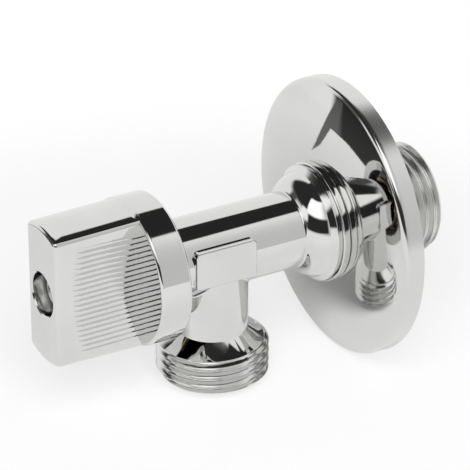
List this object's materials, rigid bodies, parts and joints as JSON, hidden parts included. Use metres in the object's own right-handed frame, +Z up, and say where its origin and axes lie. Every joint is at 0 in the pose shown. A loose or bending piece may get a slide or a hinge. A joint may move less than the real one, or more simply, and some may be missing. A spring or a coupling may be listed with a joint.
{
  "type": "angle valve",
  "caption": "Chromed quarter-turn angle valve: threaded tail into the wall, threaded outlet facing down, flat ribbed paddle handle on a round collar, and a domed wall rosette.",
  "frame": {"origin": "on the inlet axis at the face of the wall, which the rosette's skirt meets", "axes": "+Y along the inlet tail into the wall, so the handle faces -Y; +Z up, so the outlet points down along -Z; +X to the right as seen from the front"},
  "size_m": [0.0524, 0.0779, 0.0524],
  "materials": {
    "body_chrome": "bright chrome plate on brass",
    "rosette_chrome": "bright chrome plate on pressed sheet",
    "handle_chrome": "bright chrome plate on a casting",
    "screw_steel": "zinc-plated steel",
    "spring_steel": "plain spring steel",
    "brass": "turned brass",
    "fibre": "red sealing fibre",
    "slip_plastic": "low-friction plastic",
    "rubber": "black rubber",
    "ceramic": "lapped alumina"
  },
  "bodies": {
    "body": {"valve_body": "body_chrome", "headwork_body": "brass", "headwork_gasket": "fibre", "fixed_ceramic_disc": "ceramic", "seat_seal": "rubber"},
    "handle": {"handle": "handle_chrome", "handle_screw": "screw_steel", "spindle": "brass", "spindle_o_ring_front": "rubber", "spindle_o_ring_rear": "rubber", "retaining_clip": "spring_steel", "thrust_washer": "slip_plastic", "moving_ceramic_disc": "ceramic"},
    "rosette": {"wall_rosette": "rosette_chrome"}
  },
  "joints": [
    {"name": "handle_turn", "type": "hinge", "parent": "body", "child": "handle", "pos_m": [0, -0.05, 0], "axis": [0, 1, 0], "range_deg": [0, 90]},
    {"name": "rosette_slide", "type": "slide", "parent": "body", "child": "rosette", "axis": [0, 1, 0], "range_m": [0, 0.014]}
  ]
}
